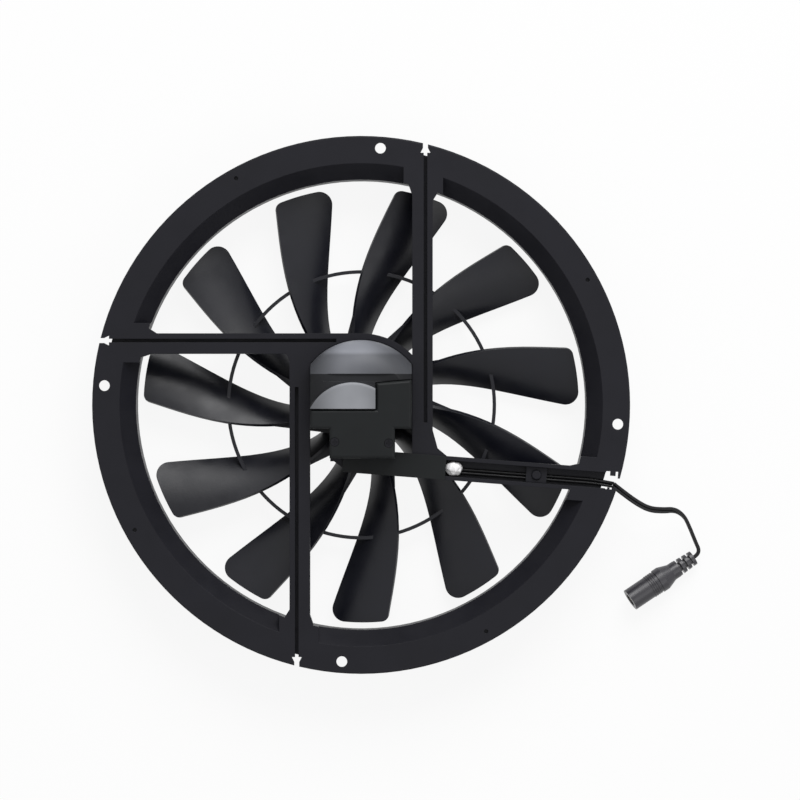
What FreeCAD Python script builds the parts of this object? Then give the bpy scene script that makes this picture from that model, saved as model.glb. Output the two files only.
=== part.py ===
"""Round low-voltage exhaust fan: a one-piece ring frame with tangential arms carries a small brushed
motor, an eleven-blade impeller and a short twin lead with an in-line power socket.

Millimetres. The fan lies face up: +Z is the spin axis, the floor is z = 0, and the cable arm points
towards +X.
"""
import FreeCAD, Part
import math
import os

V = FreeCAD.Vector
UP = V(0, 0, 1)
ORIGIN = V(0, 0, 0)
OVER = 1.0
EDGE_TOLERANCE = 0.01

# Ring frame
ring_radius = 130.0
ring_height = 32.0
flange_thickness = 2.6
flange_width = 13.2
cone_radius = ring_radius - flange_width
cone_depth = 8.0
cone_width = 7.7
throat_radius = cone_radius - cone_width
duct_wall = 2.4
flange_root_share = 0.6
rim_chamfer = 0.6

# Fixing holes in the flange
mount_hole_radius = 2.6
mount_hole_inset = 5.6
mount_circle_radius = ring_radius - mount_hole_inset
mount_hole_angle = -4.3
pilot_hole_radius = 1.0
pilot_hole_inset = 5.0
pilot_circle_radius = ring_radius - pilot_hole_inset
pilot_hole_angle = 28.9
pilot_hole_depth = 1.6
hole_count = 4

# Plain arms, measured from the spin axis
arm_inner_edge = 24.7
arm_outer_edge = 34.6
arm_depth = 12.0
arm_root_inner_margin = 4.2
arm_root_outer_margin = 5.0
arm_root_inset = 5.4
arm_root_reach = ring_radius - arm_root_inset
arm_gusset_length = 4.6
arm_gusset_inner = 1.6
arm_gusset_outer = 2.9
# Corner gussets: along the arm, across it; the first is beside the cable arm
corner_gussets = (
    (12.5, 8.0),
    (4.0, 3.0),
)
corner_gusset_hollow = 0.3
wire_groove_centre = 31.1
wire_groove_width = 1.7
wire_groove_depth = 5.0
# Inner ends of the wire grooves in the arms along +Y, -X and -Y
wire_groove_starts = (-8.6, 12.0, -8.6)
notch_neck_width = 2.4
notch_base_width = 4.8
notch_neck_length = 2.0
notch_flare_length = 2.4

# Cable arm
cable_arm_slope = -4.4
cable_arm_offset = -27.35
cable_arm_width = 11.5
cable_arm_wall = 1.9
cable_arm_inner_end = -14.6
cable_arm_end_slant = 9.2
cable_arm_floor = 5.0
cable_doorway = 9.0
exit_notch_left = 4.5
exit_notch_right = 3.3
exit_notch_depth = 8.6
cable_root_setback = 7.2
cable_root_reach = ring_radius - cable_root_setback
exit_tooth_width = 2.6
exit_tooth_length = 2.1
exit_tooth_inset = 2.0
exit_lip_width = 2.8
exit_lip_length = 3.2
exit_slot_count = 2
exit_slot_width = 1.1
exit_slot_depth = 0.9
exit_slot_pitch = 2.2

# Motor seat in the frame
seat_thickness = 3.0
seat_corner_fill = 0.4
seat_neck_left = -15.0
seat_neck_right = 16.4
seat_bottom = -11.5
seat_rim_wall = 3.0
motor_boss_clearance = 0.3

# Motor
motor_radius = 20.0
motor_length = 24.0
can_wall = 1.2
motor_boss_radius = 6.0
motor_boss_length = 2.4
shaft_radius = 2.5
shaft_clearance = 0.05
bearing_radius = 5.0
bearing_length = 4.5
magnet_thickness = 3.4
magnet_span = 125.0
magnet_length = 15.0
glue_gap = 0.05
core_radius = 14.5
core_length = 10.0
core_setback = 2.8
core_hub_radius = 5.5
tooth_count = 5
tooth_width = 4.0
pole_thickness = 2.0
pole_gap = 3.0
end_turn_length = 2.0
winding_radius = 11.8
winding_gap = 0.3
coil_thickness = 1.5
coil_setback = 2.0
commutator_radius = 4.2
commutator_length = 6.4
commutator_slit_width = 0.4
commutator_slit_depth = 0.84
brush_width = 4.0
brush_height = 3.0
brush_length = 6.0
brush_gap = 0.1
brush_slot_clearance = 0.05
holder_wall = 1.2
holder_setback = 1.2
end_cap_flange = 1.5
end_cap_depth = 1.5
end_cap_boss_radius = 7.5
end_cap_boss_height = 2.0
terminal_spacing = 18.0
terminal_y = -11.0
terminal_width = 4.8
terminal_thickness = 0.8
terminal_height = 4.0
motor_screw_circle = 25.0
motor_screw_radius = 1.5
motor_screw_head_radius = 2.8
motor_screw_head_height = 1.6
motor_screw_reach = 0.3
drive_slot_width = 0.8

# Motor hood and terminal cover
hood_gap = 0.3
hood_radius = arm_outer_edge - seat_rim_wall - hood_gap
hood_side = arm_inner_edge - hood_gap
hood_height = 30.5
hood_wall = 2.0
hood_dome_radius = 15.0
hood_top = 2.4
hood_band_top = 14.9
hood_band_bottom = 11.3
hood_band_depth = 1.2
hood_pad_centre = (-4.0, -12.0)
hood_pad_radius = 23.4
hood_pad_height = 2.4
hood_pad_fillet = 2.0
cover_step_x = 7.0
cover_left_y = -1.9
cover_right_y = 10.9
cover_right_rise = 3.6
cover_gap = 0.3
cover_height = 32.0
cover_wall = 1.6
cover_fillet = 1.5
lid_end = 41.0
lid_thickness = 1.4
cover_screw_places = ((-12.6, -17.8), (13.4, -18.4))
cover_screw_radius = 1.3
cover_screw_head_radius = 2.0
cover_screw_head_height = 1.2
cover_post_radius = 2.4
cover_screw_bite = 2.0
cover_screw_head_gap = 0.2
cross_length = 2.8
cross_width = 0.7
cross_depth = 0.8
cover_neck_setback = 1.725

# Impeller
blade_count = 11
blade_tip_angle = 7.2
tip_clearance = 3.3
tip_radius = throat_radius - tip_clearance
tip_corner_leading = 4.2
tip_corner_trailing = 6.2
tip_slice = 0.05
blade_thickness = 1.8
blade_camber = 0.055
blade_overrun = 3.2
impeller_drop = 3.4
hub_top = ring_height - arm_depth - impeller_drop
blade_mid_drop = 6.4
impeller_mid_z = hub_top - blade_mid_drop
# Blade stations: radius, sweep from the tip in degrees, width seen from above, height
blade_stations = (
    (12.0, 17.6, 6.0, 11.4),
    (37.0, 16.4, 9.4, 12.0),
    (59.4, 9.6, 18.0, 11.4),
    (81.2, 4.1, 24.6, 10.2),
    (tip_radius + blade_overrun, -0.4, 29.4, 8.4),
)
hub_radius = 15.5
hub_height = 13.4
hub_bottom = hub_top - hub_height
hub_wall = 2.2
hub_web = 3.0
hub_boss_radius = 8.0
insert_radius = 4.6
insert_groove_depth = 0.8
tie_ring_radius = 64.7
tie_ring_width = 1.7
tie_ring_height = 2.2
gusset_start = 12.4
gusset_reach = 43.0
gusset_root_width = 8.0
gusset_tip_width = 1.2
gusset_tip_height = 1.4
gusset_drop = 3.6
gusset_height = 8.4
gusset_top = hub_top - gusset_drop
gusset_bottom = gusset_top - gusset_height
washer_radius = 6.5
washer_thickness = 1.0
washer_gap = 0.5
nut_across_flats = 8.0
nut_height = 4.0
shaft_end_reach = 1.0
shaft_bottom = hub_bottom - shaft_end_reach

# Lead, bead, clip and in-line socket
wire_radius = 0.8
wire_pitch = 1.65
lead_lane = -1.0
lead_drop_x = 5.0
lead_drop_y = -21.0
lead_bend = 113.0
wire_floor_gap = 0.05
bend_share = 0.45
bead_place = 44.9
bead_length = 8.6
bead_width = 7.4
bead_height = 7.6
clip_place = 85.0
clip_length = 10.0
clip_thickness = 2.4
clip_side_gap = 0.1
clip_boss_radius = 2.4
clip_boss_height = 1.2
clip_boss_rounding = 0.72
cord_diameter = 2.8
socket_angle = 213.6
socket_tilt = 7.5
socket_length = 37.4
socket_radius = 5.5
socket_body_radius = 6.0
socket_bore_radius = 2.85
socket_bore_depth = 10.0
socket_sleeve_wall = 0.35
socket_pin_radius = 1.0
socket_pin_length = 8.5
socket_pin_rounding = 0.6
socket_sleeve_setback = 0.5
socket_insert_length = 3.0
tail_length = 10.0
tail_start_radius = 3.6
tail_end_radius = 4.1
tail_grooves = 3
tail_groove_first = 1.765
tail_groove_pitch = 2.941
tail_groove_width = 1.2
tail_groove_depth = 1.3
socket_neck_radius = 4.2
socket_neck_length = 3.0
socket_shoulder_length = 5.0
socket_band_start = 12.0
socket_band_ribs = 4
socket_band_pitch = 1.1
socket_band_height = 0.25

# Free stretch of the lead, from the rim notch to the socket's tail
# Lead's route from the cable exit to the socket: beyond the rim along X, then Y and height
cord_places = (
    (-8.1, -38.7, 25.85),
    (-2.6, -43, 25.6),
    (3.2, -47.2, 24),
    (9.4, -50.6, 21),
    (16.2, -51.3, 17.4),
    (22.4, -50.9, 13.8),
    (27.2, -54.2, 10.8),
    (29.8, -59.6, 8.4),
    (31.4, -63.4, 6.9),
    (33, -67.2, 5.2),
    (34.6, -70.6, 4.2),
    (33.9, -73.1, 3.65),
    (31.8, -74.5, 3.65),
)
cord_route = tuple((ring_radius + beyond, y, z) for beyond, y, z in cord_places)
socket_tail = cord_route[-1]

# Levels that follow from the sizes above
arm_bottom = ring_height - arm_depth
seat_top = arm_bottom + seat_thickness
motor_top = seat_top + motor_length
channel_floor = arm_bottom + cable_arm_floor
hood_top_z = seat_top + hood_height
cover_top_z = seat_top + cover_height
groove_bottom = ring_height - wire_groove_depth
core_bottom = seat_top + can_wall + core_setback
core_top = core_bottom + core_length
end_turn_top = core_top + end_turn_length
commutator_bottom = end_turn_top
brush_z = commutator_bottom + 0.5 * commutator_length
cap_body_bottom = motor_top - end_cap_depth
cap_flange_top = motor_top + end_cap_flange
cap_boss_top = cap_flange_top + end_cap_boss_height


def cylinder(radius, low, high, x=0.0, y=0.0):
    return Part.makeCylinder(radius, high - low, V(x, y, low), UP)


def tube(outer, inner, low, high):
    return cylinder(outer, low, high).cut(cylinder(inner, low - OVER, high + OVER))


def block(x0, y0, z0, x1, y1, z1):
    return Part.makeBox(x1 - x0, y1 - y0, z1 - z0, V(x0, y0, z0))


def prism(points, low, high):
    corners = [V(x, y, low) for x, y in points]
    outline = Part.makePolygon(corners + corners[:1])
    return Part.Face(outline).extrude(UP * (high - low))


def lathe(profile):
    """Solid of revolution about Z from (radius, height) corners."""
    corners = [V(r, 0, z) for r, z in profile]
    outline = Part.makePolygon(corners + corners[:1])
    return Part.Face(outline).revolve(ORIGIN, UP, 360)


def turned(shape, angle):
    copy = shape.copy()
    copy.rotate(ORIGIN, UP, angle)
    return copy


def fused(shapes):
    first = shapes[0]
    return first.multiFuse(shapes[1:]).removeSplitter()


def cable_point(along, across, height):
    """Point on the cable arm: along it, across it (left is positive) and above the floor."""
    slope = math.radians(cable_arm_slope)
    x = along * math.cos(slope) - across * math.sin(slope)
    y = cable_arm_offset + along * math.sin(slope) + across * math.cos(slope)
    return V(x, y, height)


def on_cable_arm(shape):
    """Places a shape drawn along +X about the cable arm's own centre line."""
    copy = turned(shape, cable_arm_slope)
    copy.translate(V(0, cable_arm_offset, 0))
    return copy


def rounded_path(points):
    """Straight runs joined by the largest tangent arcs that the runs leave room for."""
    corners = [V(*p) for p in points]
    edges = []
    radii = []
    last = corners[0]
    for before, corner, after in zip(corners, corners[1:], corners[2:]):
        to_before = (before - corner).normalize()
        to_after = (after - corner).normalize()
        turn = math.pi - to_before.getAngle(to_after)
        shorter = min(before.distanceToPoint(corner), after.distanceToPoint(corner))
        setback = bend_share * shorter
        radius = setback / math.tan(turn / 2)
        start = corner + to_before * setback
        end = corner + to_after * setback
        bisector = (to_before + to_after).normalize()
        middle = corner + bisector * (radius / math.cos(turn / 2) - radius)
        edges.append(Part.LineSegment(last, start).toShape())
        edges.append(Part.Arc(start, middle, end).toShape())
        radii.append(radius)
        last = end
    edges.append(Part.LineSegment(last, corners[-1]).toShape())
    return Part.Wire(edges), radii


def swept_tube(points, radius):
    path, radii = rounded_path(points)
    start = V(*points[0])
    heading = V(*points[1]) - start
    section = Part.Wire(Part.makeCircle(radius, start, heading))
    return path.makePipeShell([section], True, True), path.Length, radii


# Ring frame

def ring():
    throat_top = ring_height - cone_depth
    flange_bottom = ring_height - flange_thickness
    duct_radius = throat_radius + duct_wall
    return lathe((
        (throat_radius, 0),
        (throat_radius, throat_top),
        (cone_radius, ring_height),
        (ring_radius - rim_chamfer, ring_height),
        (ring_radius, ring_height - rim_chamfer),
        (ring_radius, flange_bottom),
        (cone_radius + flange_root_share * flange_thickness, flange_bottom),
        (duct_radius, throat_top - 0.5 * duct_wall),
        (duct_radius, 0),
    ))


def inside_throat():
    return cylinder(throat_radius + 0.5 * duct_wall, 0, ring_height)


def root_block(low_side, high_side, reach):
    """Flat ground that fills the cone where an arm along +Y meets the ring."""
    strip = block(low_side, 0, arm_bottom, high_side, ring_radius, ring_height)
    return strip.common(tube(reach, throat_radius, arm_bottom, ring_height))


def arm_strip(inner_edge, outer_edge, inner_end):
    """Arm along +Y with gussets where it reaches the ring."""
    inner_reach = math.sqrt(throat_radius**2 - inner_edge**2)
    outer_reach = math.sqrt(throat_radius**2 - outer_edge**2)
    plan = (
        (inner_edge, inner_end),
        (outer_edge, inner_end),
        (outer_edge, outer_reach - arm_gusset_length),
        (outer_edge + arm_gusset_outer, outer_reach),
        (outer_edge + arm_gusset_outer, ring_radius),
        (inner_edge - arm_gusset_inner, ring_radius),
        (inner_edge - arm_gusset_inner, inner_reach),
        (inner_edge, inner_reach - arm_gusset_length),
    )
    return prism(plan, arm_bottom, ring_height).common(inside_throat())


def groove_cut(start):
    """Narrow wire groove along the arm with its snap-in notch through the rim."""
    half = 0.5 * wire_groove_width
    rim = math.sqrt(ring_radius**2 - wire_groove_centre**2)
    flare = rim - notch_neck_length
    base = flare - notch_flare_length
    groove = block(wire_groove_centre - half, start, groove_bottom,
                   wire_groove_centre + half, base + OVER, ring_height + OVER)
    notch = prism((
        (wire_groove_centre - 0.5 * notch_base_width, base),
        (wire_groove_centre + 0.5 * notch_base_width, base),
        (wire_groove_centre + 0.5 * notch_neck_width, flare),
        (wire_groove_centre + 0.5 * notch_neck_width, ring_radius + OVER),
        (wire_groove_centre - 0.5 * notch_neck_width, ring_radius + OVER),
        (wire_groove_centre - 0.5 * notch_neck_width, flare),
    ), arm_bottom - OVER, ring_height + OVER)
    return groove.fuse(notch)


def corner_gusset(along, across):
    """Web between the outer edge of the arm along +Y and the inner edge of the next arm."""
    return prism((
        (arm_outer_edge - OVER, -arm_inner_edge - OVER),
        (arm_outer_edge + across, -arm_inner_edge - OVER),
        (arm_outer_edge + corner_gusset_hollow * across, -arm_inner_edge + corner_gusset_hollow * along),
        (arm_outer_edge, -arm_inner_edge + along),
        (arm_outer_edge - OVER, -arm_inner_edge + along),
    ), arm_bottom, ring_height)


def plain_arms():
    """The arms along +Y, -X and -Y, as (solid, cut) pairs of lists."""
    solids = []
    cuts = []
    low_side = arm_inner_edge - arm_root_inner_margin
    high_side = arm_outer_edge + arm_root_outer_margin
    inner_ends = (-arm_outer_edge, 0.0, -arm_outer_edge)
    for number, inner_end in enumerate(inner_ends):
        strip = arm_strip(arm_inner_edge, arm_outer_edge, inner_end)
        ground = root_block(low_side, high_side, cone_radius + flange_thickness)
        keel = root_block(wire_groove_centre - notch_base_width, wire_groove_centre + notch_base_width,
                          arm_root_reach)
        for shape in (strip, ground, keel):
            solids.append(turned(shape, 90 * number))
        cuts.append(turned(groove_cut(wire_groove_starts[number]), 90 * number))
    for number, sizes in enumerate(corner_gussets):
        solids.append(turned(corner_gusset(*sizes), 180 * number))
    return solids, cuts


def cable_arm():
    half = 0.5 * cable_arm_width
    bottom_left = cable_arm_inner_end + cable_arm_end_slant
    reach = throat_radius + 0.5 * duct_wall
    strip = prism((
        (cable_arm_inner_end, half),
        (cable_arm_inner_end, 0),
        (bottom_left, -half),
        (reach - arm_gusset_length, -half),
        (reach, -half - arm_gusset_outer),
        (ring_radius, -half - arm_gusset_outer),
        (ring_radius, half + arm_gusset_outer),
        (reach, half + arm_gusset_outer),
        (reach - 2 * arm_gusset_length, half),
    ), arm_bottom, ring_height)
    strip = on_cable_arm(strip).common(inside_throat())
    side = half + arm_root_outer_margin
    ground = block(0, -side, arm_bottom, ring_radius, side, ring_height)
    ground = on_cable_arm(ground).common(
        tube(cable_root_reach, throat_radius, arm_bottom, ring_height))
    return [strip, ground]


def cable_arm_cut():
    half = 0.5 * cable_arm_width - cable_arm_wall
    rim = math.sqrt(ring_radius**2 - cable_arm_offset**2)
    notch_start = rim - exit_notch_depth
    channel = block(0.5 * cable_arm_inner_end, -half, channel_floor,
                    notch_start + OVER, half, ring_height + OVER)
    beyond = ring_radius + exit_notch_depth
    notch = block(notch_start, -exit_notch_right, channel_floor,
                  beyond, exit_notch_left, ring_height + OVER)
    doorway = block(-cable_doorway, 0, channel_floor, cable_doorway, cable_arm_width, ring_height + OVER)
    tooth_start = notch_start + exit_tooth_inset
    tooth = block(tooth_start, exit_notch_left - exit_tooth_length, channel_floor,
                  tooth_start + exit_tooth_width, exit_notch_left + OVER, ring_height + 2 * OVER)
    lip = block(rim - exit_lip_width, exit_notch_left - exit_lip_length, channel_floor,
                beyond + OVER, exit_notch_left + OVER, ring_height + 2 * OVER)
    notch = notch.cut(tooth).cut(lip)
    for number in range(exit_slot_count):
        slot_start = notch_start + number * exit_slot_pitch
        notch = notch.fuse(block(slot_start, -exit_notch_right - exit_slot_depth, channel_floor,
                                 slot_start + exit_slot_width, 0, ring_height + OVER))
    return on_cable_arm(channel.fuse(doorway).fuse(notch))


def seat_outline(low, high):
    """Arch between the arms with a neck down to the cable arm."""
    arch = cylinder(arm_outer_edge, low, high)
    arch = arch.common(block(-arm_inner_edge, seat_bottom, low, arm_inner_edge, arm_outer_edge, high))
    neck_end = cable_arm_offset
    neck = block(seat_neck_left, neck_end, low, seat_neck_right, seat_bottom + OVER, high)
    return arch.fuse(neck)


def motor_seat():
    rim = tube(arm_outer_edge, arm_outer_edge - seat_rim_wall, arm_bottom, ring_height)
    rim = rim.common(block(-arm_inner_edge, 0, arm_bottom, arm_inner_edge, arm_outer_edge, ring_height))
    corner = block(-arm_inner_edge - seat_corner_fill, arm_inner_edge - seat_corner_fill, arm_bottom,
                   -arm_inner_edge + seat_corner_fill, arm_inner_edge + seat_corner_fill, ring_height)
    return [seat_outline(arm_bottom, seat_top), rim, corner]


def circle_of_holes(radius, circle, angle, low, high):
    holes = []
    for number in range(hole_count):
        bearing = math.radians(angle + 360.0 / hole_count * number)
        holes.append(cylinder(radius, low, high, circle * math.cos(bearing), circle * math.sin(bearing)))
    return holes


def motor_screw_spots():
    half = 0.5 * motor_screw_circle
    return ((-half, 0.0), (half, 0.0))


def fan_frame():
    solids, cuts = plain_arms()
    body = fused([ring()] + solids + cable_arm() + motor_seat())
    hood_pocket = cylinder(arm_outer_edge - seat_rim_wall, seat_top, ring_height + OVER)
    hood_pocket = hood_pocket.common(
        block(-arm_inner_edge, seat_bottom, seat_top, arm_inner_edge, arm_outer_edge, ring_height + OVER))
    cuts.append(hood_pocket)
    cuts.append(cable_arm_cut())
    cuts.append(cylinder(motor_boss_radius + motor_boss_clearance, arm_bottom - OVER, seat_top + OVER))
    for x, y in motor_screw_spots():
        hole = motor_screw_radius + motor_boss_clearance
        cuts.append(cylinder(hole, arm_bottom - OVER, seat_top + OVER, x, y))
    for x, y in cover_screw_places:
        cuts.append(cylinder(cover_screw_radius, seat_top - cover_screw_bite, seat_top + OVER, x, y))
    cuts += circle_of_holes(mount_hole_radius, mount_circle_radius, mount_hole_angle,
                            arm_bottom, ring_height + OVER)
    cuts += circle_of_holes(pilot_hole_radius, pilot_circle_radius, pilot_hole_angle,
                            ring_height - pilot_hole_depth, ring_height + OVER)
    for cut in cuts:
        body = body.cut(cut)
    return body.removeSplitter()


# Motor

def motor_can():
    boss_end = seat_top - motor_boss_length
    shell = cylinder(motor_radius, seat_top, motor_top)
    shell = shell.cut(cylinder(motor_radius - can_wall, seat_top + can_wall, motor_top + OVER))
    boss = cylinder(motor_boss_radius, boss_end, seat_top + bearing_length - motor_boss_length)
    shell = shell.fuse(boss)
    shell = shell.cut(cylinder(bearing_radius, boss_end - OVER, motor_top))
    for x, y in motor_screw_spots():
        shell = shell.cut(cylinder(motor_screw_radius, seat_top - OVER, seat_top + can_wall + OVER, x, y))
    return shell.removeSplitter()


def front_bearing():
    low = seat_top - motor_boss_length
    return tube(bearing_radius, shaft_radius + shaft_clearance, low, low + bearing_length)


def rear_bearing():
    high = cap_boss_top - end_cap_flange
    return tube(bearing_radius, shaft_radius + shaft_clearance, cap_body_bottom, high)


def field_magnets():
    outer = motor_radius - can_wall - glue_gap
    low = core_bottom - 0.5 * (magnet_length - core_length)
    ring_stock = tube(outer, outer - magnet_thickness, low, low + magnet_length)
    gap_half = math.radians(0.5 * (180.0 - magnet_span))
    reach = 2 * motor_radius
    wedge = prism((
        (0, 0),
        (reach, -reach * math.tan(gap_half)),
        (reach, reach * math.tan(gap_half)),
    ), low - OVER, low + magnet_length + OVER)
    return ring_stock.cut(wedge).cut(turned(wedge, 180))


def armature_core():
    pieces = [tube(core_hub_radius, shaft_radius, core_bottom, core_top)]
    pole = tube(core_radius, core_radius - pole_thickness, core_bottom, core_top)
    slot = block(0, -0.5 * pole_gap, core_bottom - OVER, 2 * core_radius, 0.5 * pole_gap, core_top + OVER)
    for number in range(tooth_count):
        angle = 360.0 / tooth_count * number
        tooth = block(core_hub_radius - OVER, -0.5 * tooth_width, core_bottom,
                      core_radius - 0.5 * pole_thickness, 0.5 * tooth_width, core_top)
        pieces.append(turned(tooth, angle))
        pole = pole.cut(turned(slot, angle + 180.0 / tooth_count))
    return fused(pieces + [pole])


def armature_windings():
    """One copper bundle round each tooth, standing out at both ends of the core."""
    coils = []
    inner = core_hub_radius + winding_gap
    outer = winding_radius
    low = core_bottom - end_turn_length
    high = core_top + end_turn_length
    half_inner = 0.5 * tooth_width + winding_gap
    half_outer = half_inner + coil_thickness
    for number in range(tooth_count):
        coil = block(inner + coil_setback, -half_outer, low, outer, half_outer, high)
        window = block(inner, -half_inner, core_bottom - winding_gap,
                       outer + OVER, half_inner, core_top + winding_gap)
        coils.append(turned(coil.cut(window), 360.0 / tooth_count * number))
    return Part.makeCompound(coils)


def commutator():
    body = tube(commutator_radius, shaft_radius, commutator_bottom, commutator_bottom + commutator_length)
    for number in range(tooth_count):
        slit = block(commutator_radius - commutator_slit_depth, -0.5 * commutator_slit_width,
                     commutator_bottom - OVER,
                     2 * commutator_radius, 0.5 * commutator_slit_width,
                     commutator_bottom + commutator_length + OVER)
        body = body.cut(turned(slit, 360.0 / tooth_count * number))
    return body


def brush_block(clearance):
    start = commutator_radius + brush_gap
    return block(start, -0.5 * brush_width - clearance, brush_z - 0.5 * brush_height - clearance,
                 start + brush_length, 0.5 * brush_width + clearance,
                 brush_z + 0.5 * brush_height + clearance)


def carbon_brushes():
    return Part.makeCompound([brush_block(0.0), turned(brush_block(0.0), 180)])


def terminal_spots():
    half = 0.5 * terminal_spacing
    return ((-half, terminal_y), (half, terminal_y))


def motor_end_cap():
    fit = motor_radius - can_wall - glue_gap
    body = cylinder(fit, cap_body_bottom, motor_top)
    body = body.fuse(cylinder(motor_radius, motor_top, cap_flange_top))
    body = body.fuse(cylinder(end_cap_boss_radius, cap_flange_top, cap_boss_top))
    start = commutator_radius + holder_setback
    holder = block(start, -0.5 * brush_width - holder_wall, brush_z - 0.5 * brush_height - holder_wall,
                   start + brush_length + holder_wall, 0.5 * brush_width + holder_wall,
                   cap_body_bottom + 0.5 * end_cap_depth)
    body = fused([body, holder, turned(holder, 180)])
    body = body.cut(brush_block(brush_slot_clearance)).cut(turned(brush_block(brush_slot_clearance), 180))
    body = body.cut(cylinder(bearing_radius, cap_body_bottom - OVER, cap_boss_top - end_cap_flange))
    return body.removeSplitter()


def motor_terminals():
    tabs = []
    for x, y in terminal_spots():
        tabs.append(block(x - 0.5 * terminal_width, y - 0.5 * terminal_thickness, cap_flange_top,
                          x + 0.5 * terminal_width, y + 0.5 * terminal_thickness,
                          cap_flange_top + terminal_height))
    return Part.makeCompound(tabs)


def motor_screws():
    screws = []
    for x, y in motor_screw_spots():
        head = cylinder(motor_screw_head_radius, arm_bottom - motor_screw_head_height, arm_bottom, x, y)
        stem = cylinder(motor_screw_radius, arm_bottom, seat_top + can_wall + motor_screw_reach, x, y)
        drive = block(x - motor_screw_head_radius, y - 0.5 * drive_slot_width,
                      arm_bottom - motor_screw_head_height - OVER,
                      x + motor_screw_head_radius, y + 0.5 * drive_slot_width,
                      arm_bottom - 0.5 * motor_screw_head_height)
        screws.append(head.fuse(stem).cut(drive).removeSplitter())
    return Part.makeCompound(screws)


def motor_shaft():
    return cylinder(shaft_radius, shaft_bottom, cap_boss_top - end_cap_flange - shaft_clearance)


# Motor hood and terminal cover

def cover_line(shift):
    """Stepped line between the hood and the terminal cover, from left to right."""
    return (
        (-2 * hood_side, cover_left_y + shift),
        (cover_step_x - shift, cover_left_y + shift),
        (cover_step_x - shift, cover_right_y + shift),
        (2 * hood_side, cover_right_y + cover_right_rise + shift),
    )


def hood_region(inset, low, high):
    line = cover_line(inset)
    side = hood_side - inset
    above = prism(line + ((2 * hood_side, 2 * hood_radius), (-2 * hood_side, 2 * hood_radius)), low, high)
    return above.common(block(-side, -hood_radius, low, side, 2 * hood_radius, high))


def dome(radius, low, top, edge):
    """Turned body with a round shoulder."""
    stock = cylinder(radius, low, top)
    rim = [e for e in stock.Edges if e.BoundBox.ZMin > top - EDGE_TOLERANCE and len(e.Vertexes) == 1]
    return stock.makeFillet(edge, rim)


def motor_hood():
    outer = dome(hood_radius, seat_top, hood_top_z, hood_dome_radius)
    band = block(-2 * hood_radius, hood_band_bottom, hood_top_z - hood_band_depth,
                 2 * hood_radius, hood_band_top, hood_top_z + OVER)
    pad_x, pad_y = hood_pad_centre
    pad = cylinder(hood_pad_radius, hood_top_z - OVER, hood_top_z + hood_pad_height, pad_x, pad_y)
    pad_top = hood_top_z + hood_pad_height
    rim = [e for e in pad.Edges if e.BoundBox.ZMin > pad_top - EDGE_TOLERANCE]
    pad = pad.makeFillet(hood_pad_fillet, rim)
    pad = pad.common(cylinder(hood_radius, seat_top, pad_top + OVER))
    outer = outer.cut(band).fuse(pad)
    outer = outer.common(hood_region(0.0, seat_top, pad_top + OVER))
    inner = dome(hood_radius - hood_wall, seat_top - OVER,
                 hood_top_z - hood_top, hood_dome_radius - hood_wall)
    inner = inner.common(hood_region(hood_wall, seat_top - OVER, hood_top_z))
    passage = cylinder(motor_radius + cover_gap, seat_top - OVER, cap_flange_top + cover_gap)
    passage = passage.fuse(cylinder(end_cap_boss_radius + cover_gap, seat_top, cap_boss_top + cover_gap))
    return outer.cut(inner).cut(passage).removeSplitter()


def cover_body(inset, low, high):
    line = cover_line(-cover_gap - inset)
    side = hood_side - inset
    bottom = seat_bottom + inset
    below = prism(line + ((2 * hood_side, -2 * hood_radius), (-2 * hood_side, -2 * hood_radius)), low, high)
    upper = below.common(block(-side, bottom, low, side, 2 * hood_radius, high))
    upper = upper.common(cylinder(hood_radius - inset, low, high))
    neck_end = cable_arm_offset + cover_neck_setback
    neck = block(seat_neck_left + inset, neck_end + inset, low, seat_neck_right - inset, bottom + OVER, high)
    return upper.fuse(neck).removeSplitter()


def terminal_cover():
    outer = cover_body(0.0, ring_height, cover_top_z)
    rim = [e for e in outer.Edges if e.BoundBox.ZMin > cover_top_z - EDGE_TOLERANCE]
    outer = outer.makeFillet(cover_fillet, rim)
    skirt = cover_body(0.0, seat_top, ring_height)
    arm_edge = 0.5 * cable_arm_width + cover_gap
    arm_top = block(-ring_radius, -ring_radius, 0, ring_radius, arm_edge, ring_height)
    skirt = skirt.cut(on_cable_arm(arm_top))
    lid = block(cable_arm_inner_end + 0.5 * cable_arm_width, -0.5 * cable_arm_width, ring_height,
                lid_end, 0.5 * cable_arm_width, ring_height + lid_thickness)
    body = fused([outer, skirt, on_cable_arm(lid)])
    inner = cover_body(cover_wall, seat_top - OVER, cover_top_z - cover_wall)
    body = body.cut(inner)
    for x, y in cover_screw_places:
        body = body.fuse(cylinder(cover_post_radius, seat_top, cover_top_z - 0.5 * cover_wall, x, y))
    for x, y in cover_screw_places:
        body = body.cut(cylinder(cover_screw_radius, seat_top - OVER, cover_top_z + OVER, x, y))
        body = body.cut(cylinder(cover_screw_head_radius + cover_screw_head_gap,
                                 cover_top_z - cover_screw_head_height, cover_top_z + OVER, x, y))
    passage = cylinder(motor_radius + cover_gap, seat_top - OVER, cap_flange_top + cover_gap)
    passage = passage.fuse(cylinder(end_cap_boss_radius + cover_gap, seat_top, cap_boss_top + cover_gap))
    return body.cut(passage).removeSplitter()


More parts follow.
